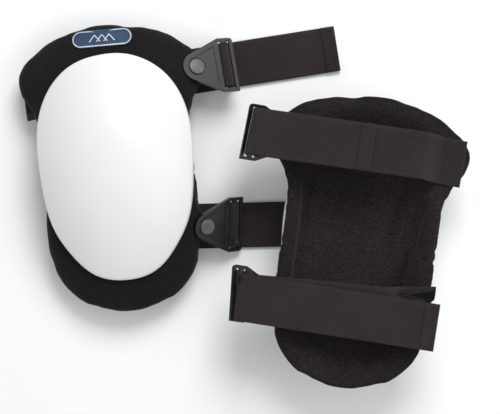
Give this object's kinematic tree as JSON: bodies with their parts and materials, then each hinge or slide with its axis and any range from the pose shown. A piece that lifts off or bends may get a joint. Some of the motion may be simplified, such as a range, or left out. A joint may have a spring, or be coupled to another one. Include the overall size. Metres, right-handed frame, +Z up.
{
  "type": "knee pads",
  "caption": "Pair of strap-on knee pads with domed hard caps, padded winged bodies, riveted strap plates and hook-end webbing straps.",
  "frame": {"origin": "centre of the pair's outline on the surface it lies on", "axes": "+X along the row of two pads, from the cap-up pad to the liner-up pad; +Y towards the thigh ends; +Z up from the surface"},
  "size_m": [0.3736, 0.3032, 0.0713],
  "materials": {
    "cap_plastic": "smooth gloss",
    "cover_fabric": "brushed laminated fabric",
    "liner_fabric": "soft brushed knit",
    "cushion_foam": "closed-cell foam",
    "label_patch": "woven patch",
    "webbing": "knitted elastic webbing",
    "hook_tape": "moulded hook tape",
    "plate_plastic": "moulded satin",
    "rivet_metal": "dark lacquered"
  },
  "bodies": {
    "pad_1": {"pad_1_cover": "cover_fabric", "pad_1_foam_core": "cushion_foam", "pad_1_liner": "liner_fabric", "pad_1_cap": "cap_plastic", "pad_1_cap_cushion": "cushion_foam", "pad_1_label": "label_patch", "pad_1_upper_rivet": "rivet_metal", "pad_1_upper_washer": "rivet_metal", "pad_1_upper_strap": "webbing", "pad_1_lower_rivet": "rivet_metal", "pad_1_lower_washer": "rivet_metal", "pad_1_lower_strap": "webbing"},
    "pad_1_upper_plate": {"pad_1_upper_plate": "plate_plastic", "pad_1_upper_strap_end": "webbing"},
    "pad_1_lower_plate": {"pad_1_lower_plate": "plate_plastic", "pad_1_lower_strap_end": "webbing", "pad_1_lower_tab": "webbing", "pad_1_lower_hook_patch": "hook_tape"},
    "pad_1_upper_tab": {"pad_1_upper_tab": "webbing", "pad_1_upper_hook_patch": "hook_tape"},
    "pad_2": {"pad_2_cover": "cover_fabric", "pad_2_foam_core": "cushion_foam", "pad_2_liner": "liner_fabric", "pad_2_cap": "cap_plastic", "pad_2_cap_cushion": "cushion_foam", "pad_2_label": "label_patch", "pad_2_upper_rivet": "rivet_metal", "pad_2_upper_washer": "rivet_metal", "pad_2_upper_strap": "webbing", "pad_2_upper_strap_end": "webbing", "pad_2_lower_rivet": "rivet_metal", "pad_2_lower_washer": "rivet_metal", "pad_2_lower_strap": "webbing", "pad_2_lower_strap_end": "webbing"},
    "pad_2_upper_plate": {"pad_2_upper_plate": "plate_plastic", "pad_2_upper_strap_loop": "webbing"},
    "pad_2_lower_plate": {"pad_2_lower_plate": "plate_plastic", "pad_2_lower_strap_loop": "webbing"},
    "pad_2_upper_tab": {"pad_2_upper_tab": "webbing", "pad_2_upper_hook_patch": "hook_tape"},
    "pad_2_lower_tab": {"pad_2_lower_tab": "webbing", "pad_2_lower_hook_patch": "hook_tape"}
  },
  "joints": [
    {"name": "pad_1_upper_swivel", "type": "hinge", "parent": "pad_1", "child": "pad_1_upper_plate", "pos_m": [-0.03596, 0.11299, 0.02772], "axis": [0.3128, 0.21, 0.9263], "range_deg": [-15, 15]},
    {"name": "pad_1_lower_swivel", "type": "hinge", "parent": "pad_1", "child": "pad_1_lower_plate", "pos_m": [-0.02798, -0.01831, 0.02521], "axis": [0.5389, -0.1667, 0.8257], "range_deg": [-12, 2]},
    {"name": "pad_2_upper_swivel", "type": "hinge", "parent": "pad_2", "child": "pad_2_upper_plate", "pos_m": [0.03658, 0.05463, 0.04027], "axis": [-0.3034, 0.2234, -0.9263], "range_deg": [-12, 12]},
    {"name": "pad_2_lower_swivel", "type": "hinge", "parent": "pad_2", "child": "pad_2_lower_plate", "pos_m": [0.02288, -0.0762, 0.04278], "axis": [-0.5456, -0.143, -0.8257], "range_deg": [-12, 12]},
    {"name": "pad_1_upper_tab_peel", "type": "hinge", "parent": "pad_1_upper_plate", "child": "pad_1_upper_tab", "pos_m": [0.05413, 0.12726, 0.003], "axis": [0.1564, -0.9877, 0], "range_deg": [0, 80]},
    {"name": "pad_2_upper_tab_peel", "type": "hinge", "parent": "pad_2", "child": "pad_2_upper_tab", "pos_m": [0.07888, 0.04869, 0.07129], "axis": [-0.1392, -0.9903, 0], "range_deg": [0, 80]},
    {"name": "pad_2_lower_tab_peel", "type": "hinge", "parent": "pad_2", "child": "pad_2_lower_tab", "pos_m": [0.13018, -0.08653, 0.07129], "axis": [-0.0958, -0.9954, 0], "range_deg": [0, 80]},
    {"name": "pad_2_lift", "type": "slide", "parent": "pad_1", "child": "pad_2", "axis": [0, 0, 1], "range_m": [0, 0.12]}
  ]
}
